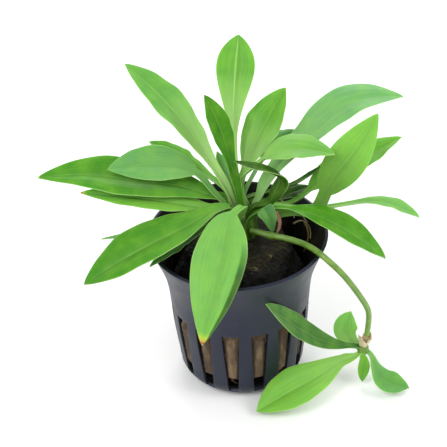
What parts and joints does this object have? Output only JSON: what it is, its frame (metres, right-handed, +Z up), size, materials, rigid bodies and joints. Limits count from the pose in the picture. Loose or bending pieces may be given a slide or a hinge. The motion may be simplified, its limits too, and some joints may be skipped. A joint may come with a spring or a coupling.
{
  "type": "potted aquarium plant",
  "caption": "Small echinodorus in a black net pot with rock wool, lance-shaped leaves in a rosette and a runner that hangs over the rim with a young plant at its end.",
  "frame": {"origin": "centre of the pot's flat base, on the surface it stands on", "axes": "+Z up; -Y is the front that the picture shows; +X is to the right, where the runner hangs"},
  "size_m": [0.1191, 0.0733, 0.105],
  "materials": {
    "pot": "satin moulded plastic",
    "rock_wool": "damp matted mineral fibre",
    "leaf": "waxy, smooth, with faint parallel veins",
    "stem": "smooth, slightly waxy",
    "dry_leaf": "dry and papery"
  },
  "bodies": {
    "root": {"pot": "pot", "rock_wool": "rock_wool", "crown": "stem", "leaf_01": "leaf", "leaf_02": "leaf", "leaf_03": "leaf", "leaf_04": "leaf", "leaf_05": "leaf", "leaf_06": "leaf", "leaf_07": "leaf", "leaf_08": "leaf", "leaf_09": "leaf", "leaf_10": "leaf", "leaf_11": "leaf", "leaf_12": "leaf", "leaf_13": "leaf", "leaf_14": "leaf", "leaf_15": "leaf", "leaf_16": "leaf", "leaf_17": "dry_leaf", "leaf_18": "leaf", "leaf_19": "leaf", "leaf_20": "leaf", "leaf_21": "leaf", "leaf_22": "leaf", "leaf_23": "leaf", "leaf_24": "leaf", "node_leaf": "leaf", "node_bract": "dry_leaf", "runner": "stem", "plantlet_crown": "stem", "plantlet_sheath": "dry_leaf", "plantlet_leaf_1": "leaf", "plantlet_leaf_2": "leaf", "plantlet_leaf_3": "leaf", "plantlet_leaf_4": "leaf", "plantlet_leaf_5": "leaf"}
  },
  "joints": []
}
